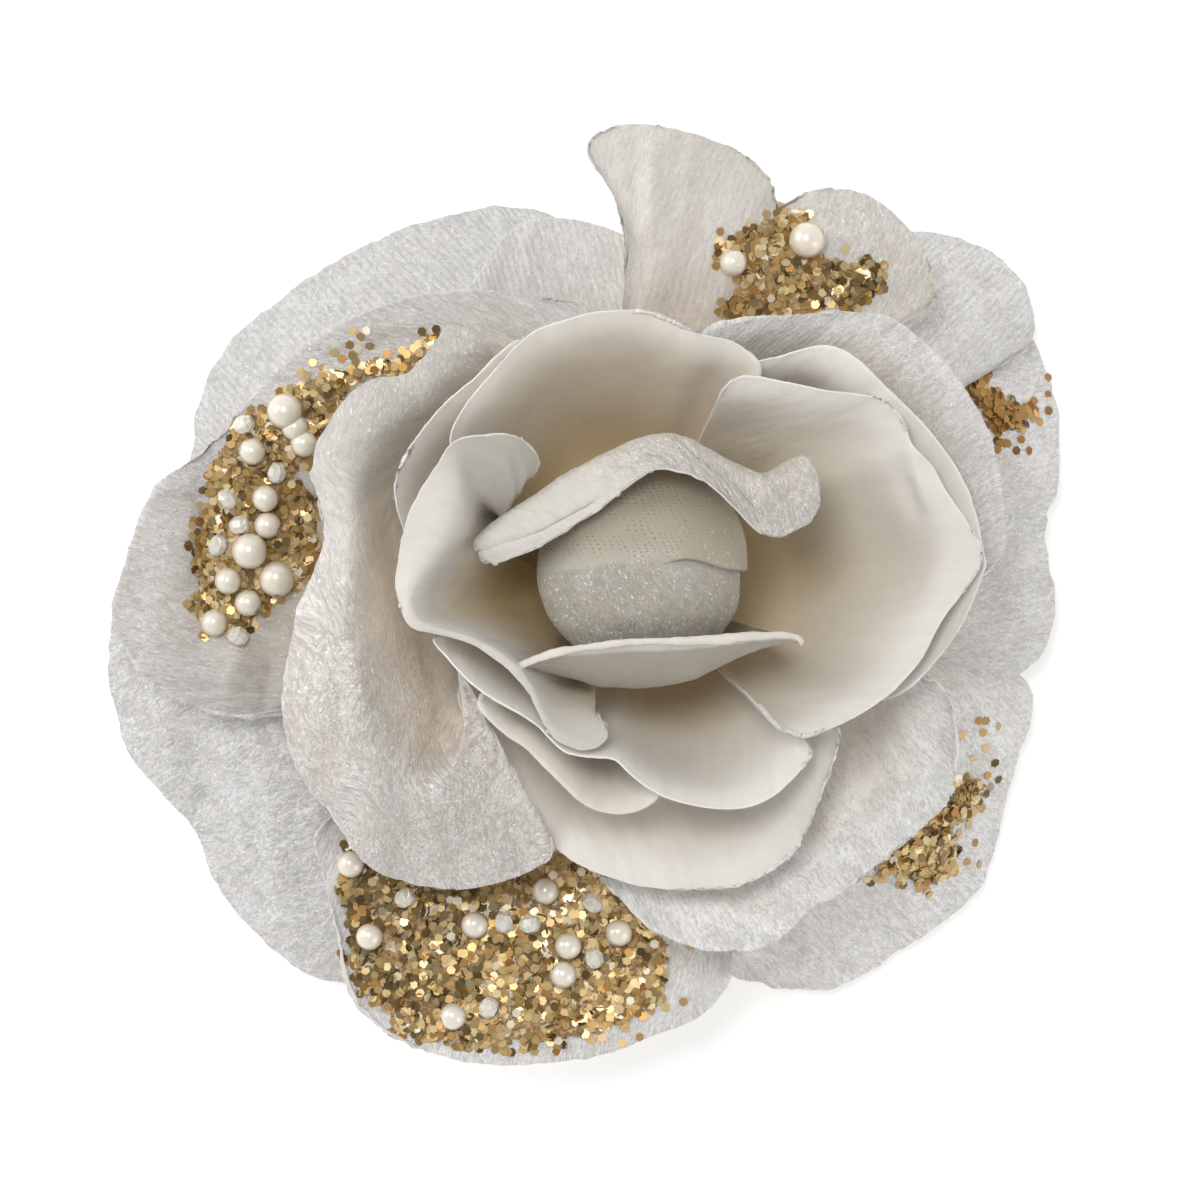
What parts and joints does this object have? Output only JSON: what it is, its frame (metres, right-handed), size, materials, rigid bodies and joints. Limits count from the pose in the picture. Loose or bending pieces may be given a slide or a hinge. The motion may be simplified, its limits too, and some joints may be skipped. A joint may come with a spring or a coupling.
{
  "type": "flower hair clip",
  "caption": "Large ivory velvet rose with glitter, pearl and glass bead trim, backed with felt on a sprung alligator hair clip.",
  "frame": {"origin": "under the middle of the flower's bounding box, on the surface the clip lies on", "axes": "+Z is the way the flower faces; +X runs along the clip from its jaws' tip to its handle, and along the flower's widest way; +Y is the flower's top"},
  "size_m": [0.1066, 0.1034, 0.0471],
  "materials": {
    "velvet": "crushed ivory velvet with a matte cream back",
    "wadding": "matte wadding",
    "felt": "matte felt",
    "hot_glue": "satin hot glue",
    "clip_steel": "nickel-plated steel",
    "spring_steel": "bright spring wire",
    "gold_glitter": "metallised gold film flakes in clear glue",
    "pearl": "pearl lustre",
    "glass_bead": "clear cut glass"
  },
  "bodies": {
    "flower": {"bud_core": "wadding", "bud_wrap_under": "velvet", "bud_wrap_over": "velvet", "bud_petal_top": "velvet", "bud_petal_bottom": "velvet", "heart_petal_left": "velvet", "heart_petal_right": "velvet", "heart_petal_bottom": "velvet", "cup_petal_top": "velvet", "cup_petal_roll": "velvet", "cup_petal_right": "velvet", "cup_petal_left": "velvet", "cup_petal_edge": "velvet", "cup_petal_bottom": "velvet", "velvet_petal_left": "velvet", "velvet_petal_right": "velvet", "velvet_petal_bottom": "velvet", "glitter_petal_top": "velvet", "glitter_petal_left": "velvet", "glitter_petal_bottom": "velvet", "small_petal_top": "velvet", "outer_petal_back": "velvet", "outer_petal_right": "velvet", "outer_petal_lower_right": "velvet", "outer_petal_upper_left": "velvet", "outer_petal_lower_left": "velvet", "glue_hub": "hot_glue", "felt_disc": "felt", "clip_fixed_jaw": "clip_steel", "hinge_pin": "clip_steel", "torsion_spring": "spring_steel", "glitter_left": "gold_glitter", "glitter_bottom": "gold_glitter", "glitter_top": "gold_glitter", "glitter_right": "gold_glitter", "glitter_lower_right": "gold_glitter", "pearls_left": "pearl", "pearls_bottom": "pearl", "pearls_top": "pearl", "glass_beads_left": "glass_bead", "glass_beads_bottom": "glass_bead"},
    "lever": {"clip_moving_jaw": "clip_steel"}
  },
  "joints": [
    {"name": "jaw_hinge", "type": "hinge", "parent": "flower", "child": "lever", "pos_m": [0.01163, 0.00121, 0.0075], "axis": [0, -1, 0], "range_deg": [0, 22], "stiffness_Nm_per_rad": 0.15, "springref_deg": -34.38, "deforming": ["torsion_spring"]}
  ]
}
